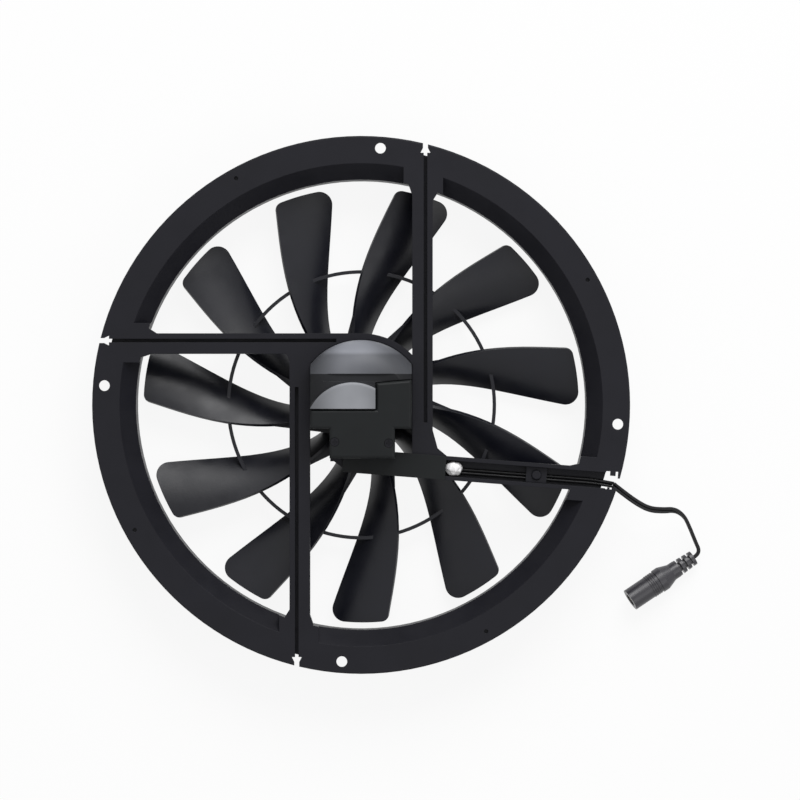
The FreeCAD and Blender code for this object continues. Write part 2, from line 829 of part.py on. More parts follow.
def cover_screws():
    screws = []
    seat = cover_top_z - cover_screw_head_height
    for x, y in cover_screw_places:
        head = cylinder(cover_screw_head_radius, seat, cover_top_z - cover_screw_head_gap, x, y)
        stem = cylinder(cover_screw_radius, seat_top - cover_screw_bite, seat, x, y)
        low = cover_top_z - cross_depth
        high = cover_top_z + OVER
        cross = block(x - 0.5 * cross_length, y - 0.5 * cross_width, low,
                      x + 0.5 * cross_length, y + 0.5 * cross_width, high)
        cross = cross.fuse(block(x - 0.5 * cross_width, y - 0.5 * cross_length, low,
                                 x + 0.5 * cross_width, y + 0.5 * cross_length, high))
        screws.append(head.fuse(stem).cut(cross).removeSplitter())
    return Part.makeCompound(screws)


# Impeller

def blade_section(radius, sweep, width, height):
    """Thin cambered section, square to the radius, higher on its leading side."""
    bearing = math.radians(blade_tip_angle + sweep)
    outward = V(math.cos(bearing), math.sin(bearing), 0)
    along = V(-math.sin(bearing), math.cos(bearing), 0)
    chord = along * width + UP * height
    normal = (UP * width - along * height).normalize()
    centre = outward * radius + UP * impeller_mid_z
    bulge = normal * (blade_camber * chord.Length)
    half = normal * (0.5 * blade_thickness)
    low = centre - chord * 0.5
    high = centre + chord * 0.5
    top = Part.Arc(low + half, centre + half + bulge, high + half).toShape()
    bottom = Part.Arc(high - half, centre - half + bulge, low - half).toShape()
    lead = Part.LineSegment(high + half, high - half).toShape()
    trail = Part.LineSegment(low - half, low + half).toShape()
    return Part.Wire([top, lead, bottom, trail])


def edge_point(body, place, side):
    """Point on one edge of a blade that lies along +X, seen from above."""
    cut = block(place, -tip_radius, 0, place + tip_slice, tip_radius, ring_height)
    span = body.common(cut).optimalBoundingBox()
    return V(place, span.YMax if side > 0 else span.YMin, 0)


def tip_corner(body, side, corner):
    """What is cut away to round one corner of a blade tip, between its edge and the tip circle."""
    inner = edge_point(body, tip_radius - 2 * corner, side)
    along = (edge_point(body, tip_radius, side) - inner).normalize()
    inward = V(side * along.y, -side * along.x, 0)
    base = inner + inward * corner
    reach = tip_radius - corner
    ahead = base.dot(along)
    centre = base + along * (math.sqrt(ahead**2 - base.dot(base) + reach**2) - ahead)
    spare = 2 * corner
    points = (centre, centre - inward * spare, centre + (along - inward) * spare,
              centre * ((tip_radius + spare) / reach))
    stock = prism([(point.x, point.y) for point in points], 0, ring_height)
    return stock.cut(cylinder(corner, 0, ring_height, centre.x, centre.y))


def blade():
    """One blade: lofted through its stations, cut to the tip circle and rounded at its corners."""
    sections = [blade_section(*station) for station in blade_stations]
    bearing = blade_tip_angle + blade_stations[-1][1]
    body = turned(Part.makeLoft(sections, True, False), -bearing)
    leading = tip_corner(body, 1, tip_corner_leading)
    trailing = tip_corner(body, -1, tip_corner_trailing)
    body = body.common(cylinder(tip_radius, 0, ring_height))
    return turned(body.cut(leading).cut(trailing), bearing)


def blade_gusset():
    """Triangular web on the leading side of a blade root, thinner towards its tip."""
    root = blade_stations[0]
    outer = blade_stations[1]
    half = 0.5 * outer[2]
    plan = prism((
        (gusset_start, 0),
        (gusset_reach, half - gusset_tip_width),
        (gusset_reach, half),
        (gusset_start, half + gusset_root_width),
    ), gusset_bottom, gusset_top)
    side = Part.makePolygon([V(x, -gusset_reach, z) for x, z in (
        (gusset_start, gusset_bottom),
        (gusset_reach, gusset_top - gusset_tip_height),
        (gusset_reach, gusset_top),
        (gusset_start, gusset_top),
        (gusset_start, gusset_bottom),
    )])
    taper = Part.Face(side).extrude(V(0, 2 * gusset_reach, 0))
    return turned(plan.common(taper), blade_tip_angle + 0.5 * (root[1] + outer[1]))


def impeller():
    one = blade().fuse(blade_gusset())
    pieces = [turned(one, 360.0 / blade_count * number) for number in range(blade_count)]
    pieces.append(cylinder(hub_radius, hub_bottom, hub_top))
    low = impeller_mid_z - 0.5 * tie_ring_height
    pieces.append(tube(tie_ring_radius + 0.5 * tie_ring_width, tie_ring_radius - 0.5 * tie_ring_width,
                       low, low + tie_ring_height))
    body = pieces[0].multiFuse(pieces[1:])
    pocket = tube(hub_radius - hub_wall, hub_boss_radius, hub_bottom - OVER, hub_top - hub_web)
    recess = cylinder(washer_radius + washer_gap, hub_bottom - OVER, insert_bottom())
    return body.cut(pocket).cut(recess).cut(hub_insert_stock())


def insert_bottom():
    return shaft_bottom + nut_height + washer_thickness


def hub_insert_stock():
    """Brass insert's outside, waisted so that the hub grips it."""
    low = insert_bottom()
    high = hub_top
    waist = insert_radius - insert_groove_depth
    third = (high - low) / 3.0
    return lathe((
        (0, low), (insert_radius, low), (insert_radius, low + third), (waist, low + third),
        (waist, high - third), (insert_radius, high - third), (insert_radius, high), (0, high),
    ))


def hub_insert():
    return hub_insert_stock().cut(cylinder(shaft_radius, shaft_bottom - OVER, ring_height))


def hub_washer():
    low = insert_bottom() - washer_thickness
    return tube(washer_radius, shaft_radius, low, low + washer_thickness)


def hub_nut():
    radius = nut_across_flats / math.sqrt(3)
    corners = [(radius * math.cos(math.radians(60 * n)), radius * math.sin(math.radians(60 * n)))
               for n in range(6)]
    stock = prism(corners, shaft_bottom, shaft_bottom + nut_height)
    return stock.cut(cylinder(shaft_radius, shaft_bottom - OVER, ring_height))


# Lead, bead, clip and socket

def wire_route(side):
    """One wire of the lead: from its motor tab, down the neck, along the cable arm to the rim."""
    height = channel_floor + wire_radius + wire_floor_gap
    shift = 0.5 * side * wire_pitch
    drop_x = side * lead_drop_x
    start_y = terminal_y - 0.5 * terminal_thickness - wire_radius - wire_floor_gap
    start_z = cap_flange_top + 0.5 * terminal_height
    lane = lead_lane + shift
    bend = cable_point(lead_bend, lane, height)
    exit_x, exit_y, exit_z = cord_route[0]
    next_x, next_y, next_z = cord_route[1]
    heading = math.atan2(next_y - exit_y, next_x - exit_x)
    turn_in = cable_point(drop_x / math.cos(math.radians(cable_arm_slope)), lane, height)
    return [
        V(side * 0.5 * terminal_spacing, start_y, start_z),
        V(drop_x, lead_drop_y, start_z),
        V(drop_x, lead_drop_y, height),
        turn_in,
        bend,
        V(exit_x - shift * math.sin(heading), exit_y + shift * math.cos(heading), exit_z),
    ]


def wire(side, radius):
    solid, length, radii = swept_tube(wire_route(side), radius)
    return solid


def arm_lead():
    return Part.makeCompound([wire(1, wire_radius), wire(-1, wire_radius)])


def glue_bead():
    """Lump of hot-melt glue over the lead in the cable arm's channel."""
    lump = Part.makeSphere(1.0)
    scale = FreeCAD.Matrix()
    scale.scale(0.5 * bead_length, 0.5 * bead_width, bead_height)
    lump = lump.transformGeometry(scale)
    lump.translate(V(bead_place, 0, channel_floor + wire_floor_gap))
    above = block(0, -ring_radius, channel_floor + wire_floor_gap, ring_radius, ring_radius, 2 * ring_height)
    lump = on_cable_arm(lump.common(above))
    for side in (1, -1):
        lump = lump.cut(wire(side, wire_radius + wire_floor_gap))
    return max(lump.Solids, key=lambda solid: solid.Volume)


def lead_clip():
    """Bridge that holds the lead down in the channel, with a round boss on top."""
    half = 0.5 * cable_arm_width - cable_arm_wall - clip_side_gap
    low = channel_floor
    under = channel_floor + 2 * wire_radius + 2 * wire_floor_gap
    high = under + clip_thickness
    start = clip_place - 0.5 * clip_length
    bridge = block(start, -half, low, start + clip_length, half, high)
    lane_half = wire_pitch + 2 * wire_floor_gap
    tunnel = block(start - OVER, lead_lane - lane_half, low - OVER,
                   start + clip_length + OVER, lead_lane + lane_half, under)
    boss = cylinder(clip_boss_radius, high, high + clip_boss_height, clip_place, 0)
    rim = [e for e in boss.Edges if e.BoundBox.ZMin > high + clip_boss_height - EDGE_TOLERANCE]
    boss = boss.makeFillet(clip_boss_rounding, rim)
    return on_cable_arm(bridge.cut(tunnel).fuse(boss).removeSplitter())


def free_lead():
    solid, length, radii = swept_tube(cord_route, 0.5 * cord_diameter)
    section = math.pi * (0.5 * cord_diameter)**2
    print("free lead length", round(length, 2), "radii", [round(r, 1) for r in radii])
    print("free lead volume", round(solid.Volume, 2), "section times length", round(section * length, 2))
    return solid


def at_socket(shape):
    """Lays a shape drawn along +Z from the socket's tail into the socket's place."""
    copy = shape.copy()
    copy.rotate(ORIGIN, V(0, 1, 0), 90 - socket_tilt)
    copy.rotate(ORIGIN, UP, socket_angle)
    copy.translate(V(*socket_tail))
    return copy


def socket_bore_bottom():
    return socket_length - socket_bore_depth


def socket_shell():
    """Moulded body with its ribbed tail, neck, shoulder and a band of fine rings."""
    neck_end = tail_length + socket_neck_length
    shoulder_end = neck_end + socket_shoulder_length
    barrel_start = socket_length - socket_band_start - socket_band_ribs * socket_band_pitch
    body = lathe((
        (0, 0),
        (tail_start_radius, 0),
        (tail_end_radius, tail_length),
        (socket_neck_radius, tail_length),
        (socket_neck_radius, neck_end),
        (socket_body_radius, shoulder_end),
        (socket_body_radius, barrel_start),
        (socket_radius, barrel_start),
        (socket_radius, socket_length),
        (0, socket_length),
    ))
    for number in range(tail_grooves):
        low = tail_groove_first + number * tail_groove_pitch
        core = tail_start_radius - tail_groove_depth
        body = body.cut(tube(2 * socket_radius, core, low, low + tail_groove_width))
    ribs = []
    for number in range(socket_band_ribs):
        low = socket_length - socket_band_start - number * socket_band_pitch
        high = low + 0.5 * socket_band_pitch
        ribs.append(tube(socket_radius + socket_band_height, socket_radius - OVER, low, high))
    body = body.multiFuse(ribs)
    liner = socket_bore_radius + socket_sleeve_wall
    body = body.cut(cylinder(liner, socket_bore_bottom() - socket_insert_length, socket_length + OVER))
    return at_socket(body.removeSplitter())


def socket_sleeve():
    """Plated contact sleeve that lines the socket."""
    sleeve = tube(socket_bore_radius + socket_sleeve_wall, socket_bore_radius,
                  socket_bore_bottom(), socket_length - socket_sleeve_setback)
    return at_socket(sleeve)


def socket_insert():
    """Insulating disc at the bottom of the socket, which holds the pin."""
    disc = tube(socket_bore_radius + socket_sleeve_wall, socket_pin_radius,
                socket_bore_bottom() - socket_insert_length, socket_bore_bottom())
    return at_socket(disc)


def socket_pin():
    low = socket_bore_bottom() - socket_insert_length
    high = socket_bore_bottom() + socket_pin_length
    pin = cylinder(socket_pin_radius, low, high)
    rim = [e for e in pin.Edges if e.BoundBox.ZMin > high - EDGE_TOLERANCE]
    return at_socket(pin.makeFillet(socket_pin_rounding, rim))


def build_parts():
    return {
        "fan_frame": fan_frame(),
        "motor_can": motor_can(),
        "motor_end_cap": motor_end_cap(),
        "front_bearing": front_bearing(),
        "rear_bearing": rear_bearing(),
        "field_magnets": field_magnets(),
        "carbon_brushes": carbon_brushes(),
        "motor_terminals": motor_terminals(),
        "motor_screws": motor_screws(),
        "motor_shaft": motor_shaft(),
        "armature_core": armature_core(),
        "armature_windings": armature_windings(),
        "commutator": commutator(),
        "motor_hood": motor_hood(),
        "terminal_cover": terminal_cover(),
        "cover_screws": cover_screws(),
        "impeller": impeller(),
        "hub_insert": hub_insert(),
        "hub_washer": hub_washer(),
        "hub_nut": hub_nut(),
        "arm_lead": arm_lead(),
        "glue_bead": glue_bead(),
        "lead_clip": lead_clip(),
        "free_lead": free_lead(),
        "socket_shell": socket_shell(),
        "socket_sleeve": socket_sleeve(),
        "socket_insert": socket_insert(),
        "socket_pin": socket_pin(),
    }


def main():
    os.makedirs("parts", exist_ok=True)
    for name, shape in build_parts().items():
        print(name, len(shape.Solids), shape.isValid(), round(shape.Volume, 1))
        shape.exportStep(os.path.join("parts", name + ".step"))


main()
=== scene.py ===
"""Looks for the exhaust fan: finishes for the moulded, metal and flexible pieces, the twin lead, the
glue lump, and the studio. Metres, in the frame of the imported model."""

import math

import bmesh
import bpy
from bpy.props import FloatProperty, FloatVectorProperty, IntProperty, PointerProperty
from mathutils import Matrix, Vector, noise


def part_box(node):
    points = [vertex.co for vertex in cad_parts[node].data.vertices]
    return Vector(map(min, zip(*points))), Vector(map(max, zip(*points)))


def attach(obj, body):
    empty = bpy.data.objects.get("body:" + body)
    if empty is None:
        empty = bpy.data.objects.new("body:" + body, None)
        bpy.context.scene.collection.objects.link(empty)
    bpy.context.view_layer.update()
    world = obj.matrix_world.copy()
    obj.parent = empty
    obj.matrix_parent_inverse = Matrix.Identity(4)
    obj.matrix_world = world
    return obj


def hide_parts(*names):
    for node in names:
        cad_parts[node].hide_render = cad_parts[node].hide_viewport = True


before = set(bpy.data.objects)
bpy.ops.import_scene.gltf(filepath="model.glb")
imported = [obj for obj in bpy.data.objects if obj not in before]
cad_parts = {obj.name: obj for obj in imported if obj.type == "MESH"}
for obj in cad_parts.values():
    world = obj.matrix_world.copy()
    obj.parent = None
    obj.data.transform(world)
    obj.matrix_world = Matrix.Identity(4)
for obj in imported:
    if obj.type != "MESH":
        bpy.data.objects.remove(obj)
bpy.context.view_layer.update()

bl_info = {
    "name": "Exhaust Fan Looks",
    "version": (1, 0, 0),
    "blender": (4, 5, 0),
    "location": "3D View > Sidebar > Exhaust Fan",
    "description": "Finishes, twin lead and studio for a round low-voltage exhaust fan",
    "category": "Object",
}

# Route of the free lead from the cable arm's exit to the socket's tail
LEAD_ROUTE = (
    (0.1219, -0.0387, 0.02585),
    (0.1274, -0.0430, 0.0256),
    (0.1332, -0.0472, 0.0240),
    (0.1394, -0.0506, 0.0210),
    (0.1462, -0.0513, 0.0174),
    (0.1524, -0.0509, 0.0138),
    (0.1572, -0.0542, 0.0108),
    (0.1598, -0.0596, 0.0084),
    (0.1614, -0.0634, 0.0069),
    (0.1630, -0.0672, 0.0052),
    (0.1646, -0.0706, 0.0042),
    (0.1639, -0.0731, 0.00365),
    (0.1618, -0.0745, 0.00365),
)
# Smoothness of that route, and the shares of its length between which the flat lead turns on edge
LEAD_ORDER = 3
LEAD_STEPS = 14
LEAD_TURN_SPAN = (0.4, 0.68)
# Top of the groove across the motor hood, along Y, and the round pad below it, along X and Y
HOOD_BAND_TOP = 0.0149
HOOD_PAD_CENTRE = (-0.004, -0.012)
HOOD_PAD_RADIUS = 0.0228
# Painted light on the hood: a painted highlight makes it lighter above a line along Y, and painted shade
# makes it darker towards its sides along X
HOOD_PAINTED_HIGHLIGHT_LINE = (0.0236, 0.0258)
HOOD_PAINTED_HIGHLIGHT_TONE = (0.82, 1.45)
HOOD_PAINTED_SHADE_REACH = (0.002, 0.020)
HOOD_PAINTED_SHADE_TONE = (1.0, 0.45)
# Range that a noise field mostly keeps to
NOISE_LOW = 0.3
NOISE_HIGH = 0.7
# Cloudy marks in moulded plastic, in repeats per metre, and how they change its colour and roughness
FLOW_MARKS = 38.0
FLOW_DRIFT = 0.12
SHEEN_PATCHES = 90.0
SHEEN_SPREAD = (-0.05, 0.07)
# Cloudy polish of metal, its streaks squeezed along Z to run round a piece, and how they change it
POLISH_CLOUDS = 160.0
POLISH_DRIFT = 0.1
STREAK_SQUEEZE = (1.0, 1.0, 9.0)
STREAK_SPREAD = (-0.06, 0.1)
# Glue lump: fineness of its mesh, its swells in the noise, and the level where its underside is flat
GLUE_FINENESS = 5
GLUE_SWELLS = 2.3
GLUE_NOISE_START = (4.1, 0.7, 2.2)
GLUE_FLAT = -0.9
# Lamps: width and place, both aimed at the frame's origin
KEY_LAMP = (1.7, (0.35, 1.66, 1.5))
FILL_LAMP = (1.2, (1.1, -0.5, 1.4))
# Floor, a little below the part, with its share of plain white where it is looked at
FLOOR_LEVEL = -0.0005
FLOOR_GREY = (0.86, 0.86, 0.86, 1)
FLOOR_WHITENESS = 0.9
WHITE = (1, 1, 1, 1)
CLIP_END = 50.0


def linear(red, green, blue):
    """A colour as a screen shows it, 0 to 255, turned into the linear values that shaders use."""
    shares = (red / 255, green / 255, blue / 255)
    return tuple(s / 12.92 if s <= 0.04045 else ((s + 0.055) / 1.055) ** 2.4 for s in shares)


def colour_property(name, description, default):
    """A colour that the panel shows."""
    return FloatVectorProperty(
        name=name, description=description, default=default, subtype="COLOR", size=3, min=0.0, max=1.0
    )


class FanFinishSettings(bpy.types.PropertyGroup):
    """Colours of the fan's finishes."""

    frame_black: colour_property("Frame", "Satin black of the ring, arms and clip", linear(20, 20, 26))
    blade_black: colour_property("Blades", "Semi-gloss black of the impeller", linear(12, 13, 21))
    hood_grey: colour_property("Hood", "Glossy grey of the motor hood", linear(115, 117, 123))
    pad_grey: colour_property("Hood pad", "Paler grey of the hood's round pad", linear(143, 145, 150))
    band_black: colour_property("Hood band", "Dark band across the motor hood", linear(40, 41, 44))
    cover_black: colour_property("Cover", "Black of the terminal cover", linear(25, 27, 28))
    lead_black: colour_property("Lead", "Black of the lead's insulation", linear(20, 20, 22))
    socket_grey: colour_property("Socket", "Dark grey of the in-line socket", linear(45, 44, 49))
    glue_white: colour_property("Glue", "White of the hot-melt glue", linear(248, 247, 249))
    steel_grey: colour_property("Steel", "Plated steel of the motor and fixings", linear(172, 172, 174))
    brass_yellow: colour_property("Brass", "Brass of the hub insert and terminals", linear(196, 166, 100))
    copper_red: colour_property("Copper", "Enamelled copper of the windings", linear(176, 98, 58))


class FanLeadSettings(bpy.types.PropertyGroup):
    """Sizes of the twin lead and the glue lump."""

    wire_radius: FloatProperty(
        name="Wire radius", description="Radius of one insulated wire", default=0.0008, unit="LENGTH"
    )
    wire_pitch: FloatProperty(
        name="Wire pitch", description="Distance between the two wires", default=0.00154, unit="LENGTH"
    )
    wire_sides: IntProperty(name="Wire sides", description="Facets round one wire", default=16, min=6)
    lead_length: FloatProperty(
        name="Lead length", description="Free length of the twin lead", default=0.0672, unit="LENGTH"
    )
    lead_twist: FloatProperty(
        name="Lead twist", description="Turn of the flat lead on its way down to the socket",
        default=math.radians(80), subtype="ANGLE"
    )
    glue_ripple: FloatProperty(
        name="Glue ripple", description="How far the glue's surface swells", default=0.0004, unit="LENGTH"
    )


class FanStageSettings(bpy.types.PropertyGroup):
    """Camera, floor and lamps."""

    view_centre: FloatVectorProperty(
        name="View centre", description="Point in the middle of the picture", size=3,
        default=(0.01879, 0.00237, 0.032), subtype="TRANSLATION", unit="LENGTH"
    )
    view_width: FloatProperty(
        name="View width", description="Width that the picture shows", default=0.3865, unit="LENGTH"
    )
    view_distance: FloatProperty(
        name="View distance", description="Camera height above the flange", default=3.0, unit="LENGTH"
    )
    floor_size: FloatProperty(
        name="Floor size", description="Side of the floor", default=12.0, unit="LENGTH"
    )
    key_power: FloatProperty(
        name="Key lamp", description="Power of the key lamp", default=46.0, unit="POWER"
    )
    fill_power: FloatProperty(
        name="Fill lamp", description="Power of the fill lamp", default=4.0, unit="POWER"
    )
    sky_strength: FloatProperty(
        name="Sky strength", description="Strength of the even light from all round", default=0.4
    )


def new_material(name):
    """A new node material, its tree and shader, and the place on the object that its fields follow."""
    material = bpy.data.materials.new(name)
    material.use_nodes = True
    tree = material.node_tree
    shader = tree.nodes["Principled BSDF"]
    place = tree.nodes.new("ShaderNodeTexCoord").outputs["Object"]
    return material, tree, shader, place


def noise_field(tree, place, scale, detail=3.0):
    """Noise of that scale, in repeats per metre, as a number from 0 to 1."""
    field = tree.nodes.new("ShaderNodeTexNoise")
    field.inputs["Scale"].default_value = scale
    field.inputs["Detail"].default_value = detail
    tree.links.new(place, field.inputs["Vector"])
    return field.outputs["Fac"]


def spread(tree, value, low, high, start=NOISE_LOW, end=NOISE_HIGH, kind="LINEAR"):
    """The part of a field from start to end, spread over low to high."""
    ranged = tree.nodes.new("ShaderNodeMapRange")
    ranged.interpolation_type = kind
    ranged.inputs["From Min"].default_value = start
    ranged.inputs["From Max"].default_value = end
    ranged.inputs["To Min"].default_value = low
    ranged.inputs["To Max"].default_value = high
    tree.links.new(value, ranged.inputs["Value"])
    return ranged.outputs["Result"]


def mottle(tree, shader, field, colour, amount):
    """Colour that drifts a little darker and lighter along a field."""
    ramp = tree.nodes.new("ShaderNodeValToRGB")
    dark, light = ramp.color_ramp.elements
    dark.position = NOISE_LOW
    light.position = NOISE_HIGH
    dark.color = (*[c * (1 - amount) for c in colour], 1)
    light.color = (*[min(1.0, c * (1 + amount)) for c in colour], 1)
    tree.links.new(field, ramp.inputs["Fac"])
    tree.links.new(ramp.outputs["Color"], shader.inputs["Base Color"])


def relief(tree, shader, field, depth, edge=0.0):
    """Surface relief of that depth, and edges rounded by that radius, in metres."""
    bump = tree.nodes.new("ShaderNodeBump")
    bump.inputs["Distance"].default_value = depth
    tree.links.new(field, bump.inputs["Height"])
    if edge:
        soft = tree.nodes.new("ShaderNodeBevel")
        soft.inputs["Radius"].default_value = edge
        tree.links.new(soft.outputs["Normal"], bump.inputs["Normal"])
    tree.links.new(bump.outputs["Normal"], shader.inputs["Normal"])


def moulded_plastic(name, colour, roughness, grain=1600.0, grain_depth=0.00002, gloss=0.25, edge=0.0003):
    """Moulded plastic with a fine eroded grain, faint flow marks and slightly rounded edges."""
    material, tree, shader, place = new_material(name)
    shader.inputs["Specular IOR Level"].default_value = gloss
    mottle(tree, shader, noise_field(tree, place, FLOW_MARKS, detail=5.0), colour, FLOW_DRIFT)
    sheen_range = [roughness + change for change in SHEEN_SPREAD]
    sheen = spread(tree, noise_field(tree, place, SHEEN_PATCHES), *sheen_range)
    tree.links.new(sheen, shader.inputs["Roughness"])
    relief(tree, shader, noise_field(tree, place, grain, detail=2.0), grain_depth, edge)
    return material


def math_node(tree, operation, first, second):
    """Result of an operation on two fields or numbers."""
    node = tree.nodes.new("ShaderNodeMath")
    node.operation = operation
    for socket, value in zip(node.inputs, (first, second)):
        if isinstance(value, bpy.types.NodeSocket):
            tree.links.new(value, socket)
        else:
            socket.default_value = value
    return node.outputs["Value"]


def multiplied(tree, first, second):
    """A colour multiplied by a colour or a field."""
    node = tree.nodes.new("ShaderNodeMixRGB")
    node.blend_type = "MULTIPLY"
    node.inputs["Fac"].default_value = 1.0
    tree.links.new(first, node.inputs["Color1"])
    tree.links.new(second, node.inputs["Color2"])
    return node.outputs["Color"]


def banded_grey_painted_light(name, colour, pad_colour, band_colour):
    """Grey moulding, dark in the groove across it and below but for its paler pad, with painted light: a
    painted highlight lightens its crown and painted shade darkens it towards its sides.
    """
    material = moulded_plastic(
        name, colour, roughness=0.42, grain=500.0, grain_depth=0.00001, gloss=0.15, edge=0.0005
    )
    tree = material.node_tree
    shader = tree.nodes["Principled BSDF"]
    mottled = shader.inputs["Base Color"].links[0].from_socket
    place = tree.nodes["Texture Coordinate"].outputs["Object"]
    parts = tree.nodes.new("ShaderNodeSeparateXYZ")
    tree.links.new(place, parts.inputs["Vector"])
    across = math_node(tree, "SUBTRACT", parts.outputs["X"], HOOD_PAD_CENTRE[0])
    up = math_node(tree, "SUBTRACT", parts.outputs["Y"], HOOD_PAD_CENTRE[1])
    reach = math_node(
        tree, "ADD", math_node(tree, "MULTIPLY", across, across), math_node(tree, "MULTIPLY", up, up)
    )
    aside = math_node(tree, "ABSOLUTE", across, 0.0)
    # Painted shade: the colour goes darker towards the hood's sides along X, and plain carries that painted
    # shade
    sides = spread(tree, aside, *HOOD_PAINTED_SHADE_TONE, *HOOD_PAINTED_SHADE_REACH, "SMOOTHSTEP")
    plain = multiplied(tree, mottled, sides)
    # Painted highlight: the colour goes lighter above a line along Y, on the hood's crown
    crown = spread(tree, parts.outputs["Y"], *HOOD_PAINTED_HIGHLIGHT_TONE, *HOOD_PAINTED_HIGHLIGHT_LINE, "SMOOTHSTEP")
    shade = tree.nodes.new("ShaderNodeMixRGB")
    tree.links.new(math_node(tree, "GREATER_THAN", reach, HOOD_PAD_RADIUS ** 2), shade.inputs["Fac"])
    shade.inputs["Color1"].default_value = (*[p / c for p, c in zip(pad_colour, colour)], 1)
    shade.inputs["Color2"].default_value = (*[b / c for b, c in zip(band_colour, colour)], 1)
    whole = tree.nodes.new("ShaderNodeMixRGB")
    tree.links.new(math_node(tree, "LESS_THAN", parts.outputs["Y"], HOOD_BAND_TOP), whole.inputs["Fac"])
    tree.links.new(multiplied(tree, plain, crown), whole.inputs["Color1"])
    tree.links.new(multiplied(tree, plain, shade.outputs["Color"]), whole.inputs["Color2"])
    tree.links.new(whole.outputs["Color"], shader.inputs["Base Color"])
    return material


def plated_metal(name, colour, roughness, streak=700.0):
    """Plated or turned metal with fine streaks and cloudy polish."""
    material, tree, shader, place = new_material(name)
    shader.inputs["Metallic"].default_value = 1.0
    mottle(tree, shader, noise_field(tree, place, POLISH_CLOUDS, detail=4.0), colour, POLISH_DRIFT)
    squeeze = tree.nodes.new("ShaderNodeMapping")
    squeeze.inputs["Scale"].default_value = STREAK_SQUEEZE
    tree.links.new(place, squeeze.inputs["Vector"])
    streaks = noise_field(tree, squeeze.outputs["Vector"], streak)
    polish_range = [roughness + change for change in STREAK_SPREAD]
    tree.links.new(spread(tree, streaks, *polish_range), shader.inputs["Roughness"])
    relief(tree, shader, streaks, depth=0.00001)
    return material


def wound_copper(name, colour):
    """Enamelled wire laid turn beside turn."""
    material, tree, shader, place = new_material(name)
    shader.inputs["Metallic"].default_value = 1.0
    shader.inputs["Coat Weight"].default_value = 0.5
    shader.inputs["Roughness"].default_value = 0.3
    turns = tree.nodes.new("ShaderNodeTexWave")
    turns.bands_direction = "Z"
    turns.inputs["Scale"].default_value = 500.0
    turns.inputs["Distortion"].default_value = 0.6
    tree.links.new(place, turns.inputs["Vector"])
    mottle(tree, shader, turns.outputs["Fac"], colour, amount=0.3)
    relief(tree, shader, turns.outputs["Fac"], depth=0.0001)
    return material


def milky_glue(name, colour):
    """Hot-melt glue: milky, soft-edged and a little uneven."""
    material, tree, shader, place = new_material(name)
    shader.inputs["Subsurface Weight"].default_value = 0.3
    shader.inputs["Subsurface Radius"].default_value = (0.002, 0.002, 0.002)
    mottle(tree, shader, noise_field(tree, place, scale=420.0), colour, amount=0.03)
    wetness = spread(tree, noise_field(tree, place, scale=700.0), low=0.22, high=0.4)
    tree.links.new(wetness, shader.inputs["Roughness"])
    relief(tree, shader, noise_field(tree, place, scale=600.0), depth=0.00003)
    return material


def dress(material, *nodes):
    """Gives CAD nodes a finish."""
    for name in nodes:
        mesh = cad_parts[name].data
        mesh.materials.clear()
        mesh.materials.append(material)


def link_object(name, data):
    """A new object in the scene."""
    piece = bpy.data.objects.new(name, data)
    bpy.context.scene.collection.objects.link(piece)
    return piece


class FAN_OT_frame_finish(bpy.types.Operator):
    """Finish the ring frame and the lead clip in satin black"""

    bl_idname = "exhaust_fan.frame_finish"
    bl_label = "Frame Finish"

    def execute(self, context):
        colours = context.scene.fan_finishes
        satin = moulded_plastic("frame_satin_black", colours.frame_black, roughness=0.46, gloss=0.18)
        dress(satin, "fan_frame", "lead_clip")
        return {"FINISHED"}


class FAN_OT_impeller_finish(bpy.types.Operator):
    """Finish the impeller in semi-gloss black"""

    bl_idname = "exhaust_fan.impeller_finish"
    bl_label = "Impeller Finish"

    def execute(self, context):
        colours = context.scene.fan_finishes
        semi_gloss = moulded_plastic(
            "blade_semi_gloss_black", colours.blade_black, roughness=0.33, grain=1100.0, gloss=0.31
        )
        dress(semi_gloss, "impeller")
        return {"FINISHED"}


class FAN_OT_hood_finish(bpy.types.Operator):
    """Finish the motor hood, with a painted highlight on its crown and painted shade towards its sides, and
    the terminal cover
    """

    bl_idname = "exhaust_fan.hood_finish"
    bl_label = "Hood Finish"

    def execute(self, context):
        colours = context.scene.fan_finishes
        # The hood's material has painted light: a painted highlight on its crown and painted shade towards
        # its sides
        hood = banded_grey_painted_light("hood_grey_painted_light", colours.hood_grey, colours.pad_grey, colours.band_black)
        dress(hood, "motor_hood")
        cover = moulded_plastic("cover_satin_black", colours.cover_black, roughness=0.42, gloss=0.14)
        dress(cover, "terminal_cover")
        return {"FINISHED"}


